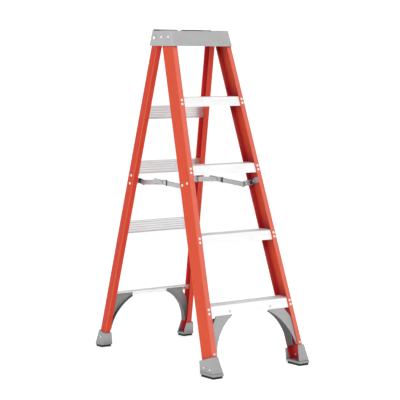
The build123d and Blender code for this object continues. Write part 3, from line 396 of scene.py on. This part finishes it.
def black_rubber(name, level, grain_size):
    """Matt black rubber or plastic with dust in its grain."""
    material, tree, shader = new_material(name)
    grain = noise(tree, EVEN, size=grain_size)
    dust = noise(tree, EVEN, size=40.0, detail=5.0)
    body = mix_colour(tree, spread(tree, dust, low=0.0, high=0.25), grey(level), DUST)
    tree.links.new(body, shader.inputs["Base Color"])
    shader.inputs["Specular IOR Level"].default_value = 0.2
    tree.links.new(spread(tree, grain, low=0.6, high=0.8), shader.inputs["Roughness"])
    bump(tree, shader, grain, strength=0.25, distance=0.0004)
    return material


def pale_sweep():
    """Matt near-white of the studio sweep, with a faint glow."""
    material, tree, shader = new_material("pale_sweep")
    speckle = noise(tree, EVEN, size=3.0)
    tree.links.new(two_tone(tree, speckle, grey(0.86), grey(0.88)), shader.inputs["Base Color"])
    shader.inputs["Roughness"].default_value = 0.9
    shader.inputs["Specular IOR Level"].default_value = 0.1
    shader.inputs["Emission Color"].default_value = (*WHITE, 1.0)
    shader.inputs["Emission Strength"].default_value = SWEEP_GLOW
    return material


def bar(name, size, place, tilt, material):
    """Small bar with rounded edges, centred on a place and tilted about X."""
    shape = bmesh.new()
    bmesh.ops.create_cube(shape, size=1.0)
    bmesh.ops.scale(shape, vec=size, verts=shape.verts)
    rounding = BAR_ROUNDING * min(size)
    edges = shape.edges[:]
    bmesh.ops.bevel(shape, geom=edges, offset=rounding, segments=BAR_SEGMENTS, profile=0.5, affect="EDGES")
    mesh = bpy.data.meshes.new(name)
    shape.to_mesh(mesh)
    shape.free()
    mesh.materials.append(material)
    piece = bpy.data.objects.new(name, mesh)
    piece.location = place
    piece.rotation_euler = (tilt, 0, 0)
    bpy.context.collection.objects.link(piece)
    return piece


def round_sweep():
    """Pale round floor that sweeps up into a backdrop on every side."""
    profile = [(FLOOR_RADIUS, 0.0)]
    for step in range(1, CURVE_STEPS + 1):
        angle = step / CURVE_STEPS * pi / 2
        profile.append((FLOOR_RADIUS + CURVE_RADIUS * sin(angle), CURVE_RADIUS - CURVE_RADIUS * cos(angle)))
    profile.append((FLOOR_RADIUS + CURVE_RADIUS, WALL_TOP))
    corners = []
    for radius, height in profile:
        for spoke in range(SPOKES):
            angle = 2 * pi * spoke / SPOKES
            corners.append((radius * cos(angle), radius * sin(angle), height))
    # One flat floor, then rings of four-sided faces
    faces = [tuple(range(SPOKES))]
    for row in range(len(profile) - 1):
        for spoke in range(SPOKES):
            near = row * SPOKES + spoke
            beside = row * SPOKES + (spoke + 1) % SPOKES
            faces.append((near, near + SPOKES, beside + SPOKES, beside))
    mesh = bpy.data.meshes.new("studio_sweep")
    mesh.from_pydata(corners, [], faces)
    mesh.polygons.foreach_set("use_smooth", [len(face) == 4 for face in faces])
    mesh.materials.append(pale_sweep())
    sweep = bpy.data.objects.new("studio_sweep", mesh)
    bpy.context.collection.objects.link(sweep)
    return sweep


def soft_box(name, place, target, width, power):
    """Square area light aimed at a point."""
    data = bpy.data.lights.new(name, "AREA")
    data.size = width
    data.energy = power
    lamp = bpy.data.objects.new(name, data)
    lamp.location = place
    aim = Vector(target) - Vector(place)
    lamp.rotation_euler = aim.to_track_quat("-Z", "Y").to_euler()
    bpy.context.collection.objects.link(lamp)


slot_materials = {
    "fibreglass": fibreglass(
        "fibreglass_orange", tint=(0.95, 0.88, 0.86), recess_shade=(0.34, 0.011, 0.018), flange_highlight=0.42
    ),
    "step_aluminium": extruded_aluminium("step_aluminium", low=0.9, high=0.98, metal=0.2),
    "moulded_grey": moulded_grey("moulded_grey", low=0.385, high=0.415),
    "zinc_steel": zinc_steel(),
    "rivet_aluminium": rivet_metal("rivet_aluminium", low=0.8, high=0.95),
    "pad_rubber": black_rubber("pad_rubber", level=0.012, grain_size=900.0),
    "stop_black": black_rubber("stop_black", level=0.01, grain_size=1200.0),
}
ringed_rivet = rivet_metal("ringed_rivet", low=0.62, high=0.75, rim=0.06)
# Pieces whose finish, painted shade or painted highlight differ from the rest of their slot, by the start
# of the node's name
own_materials = {
    # Rear rails: a redder copy of the fibreglass, with lighter painted channel shade and no painted flange
    # highlight
    "rear_rail": fibreglass(
        "rear_fibreglass", tint=(0.84, 0.6, 0.6), recess_shade=(0.62, 0.03, 0.035), flange_highlight=0.0
    ),
    "rear_brace": extruded_aluminium("brace_aluminium", low=0.8, high=0.95, metal=0.7),
    "front_shoe": moulded_grey("shoe_grey", low=0.32, high=0.36, groove=SHOE_GROOVE),
    "rear_shoe": moulded_grey("rear_shoe_grey", low=0.28, high=0.32),
    "front_gusset": gusset_grey(
        "gusset_grey", plate=0.38, strip=0.05, edge=0.13, normal=FRONT_GUSSET_NORMAL
    ),
    # Rear gussets: a darker plate as painted shade, with painted edges
    "rear_gusset": gusset_grey(
        "rear_gusset_grey", plate=0.22, strip=0.1, edge=0.28, normal=REAR_GUSSET_NORMAL
    ),
    "hinge_pin": slot_materials["rivet_aluminium"],
    "front_gusset_rivets": ringed_rivet,
    "front_shoe_rivets": ringed_rivet,
    "rear_shoe_rivets": ringed_rivet,
    # Rivets on the rear gussets darkened as painted shade
    "rear_gusset_rivets": rivet_metal("dark_rivet", low=0.22, high=0.3),
}

for entry in frame["record"]["subparts"]:
    piece = nodes[entry["node"]]
    material = slot_materials[entry["material_slot"]]
    # A gusset's or shoe's finish isn't for the rivets whose name starts in the same way
    is_rivet = entry["material_slot"] == "rivet_aluminium"
    for start, own in own_materials.items():
        if entry["node"].startswith(start) and start.endswith("rivets") == is_rivet:
            material = own
    piece.data.materials.clear()
    piece.data.materials.append(material)

# Dark strips of painted shade on the front of the cap's rear rim, either side of its notch
rim_shade_material = black_rubber("rim_shade_strip", level=0.03, grain_size=1200.0)
for name, left, right in RIM_SHADE_STRIPS:
    size = (right - left, RIM_SHADE_DEPTH, RIM_SHADE_HEIGHT)
    place = ((left + right) / 2, RIM_SHADE_Y, RIM_SHADE_Z)
    rim_shade_bar = bar(name, size, place, 0.0, rim_shade_material)
    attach(rim_shade_bar, "front_section")

# Dark bars laid on the walls of the front spreader brackets
dark_bar_material = black_rubber("bracket_dark_bar", level=0.025, grain_size=1200.0)
for name, side in BRACKET_DARK_BARS:
    place = (side * BRACKET_BAR_X, BRACKET_BAR_Y, BRACKET_BAR_Z)
    slot = bar(name, BRACKET_BAR_SIZE, place, FRONT_LEAN, dark_bar_material)
    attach(slot, "front_section")

sweep = round_sweep()

world = bpy.data.worlds.new("studio")
world.use_nodes = True
background = world.node_tree.nodes["Background"]
background.inputs["Color"].default_value = (*WHITE, 1.0)
background.inputs["Strength"].default_value = WORLD_STRENGTH
bpy.context.scene.world = world

for soft_box_values in SOFT_BOXES:
    soft_box(*soft_box_values)

camera_data = bpy.data.cameras.new("camera")
camera_data.sensor_width = SENSOR_WIDTH
camera_data.lens = CAMERA_LENS
camera = bpy.data.objects.new("camera", camera_data)
camera_rows = []
for right, up, forward, place in zip(CAMERA_RIGHT, CAMERA_UP, CAMERA_FORWARD, CAMERA_PLACE):
    camera_rows.append((right, up, -forward, place))
camera.matrix_world = Matrix((*camera_rows, (0, 0, 0, 1)))
bpy.context.collection.objects.link(camera)
bpy.context.scene.camera = camera
bpy.context.scene.view_settings.view_transform = "Standard"
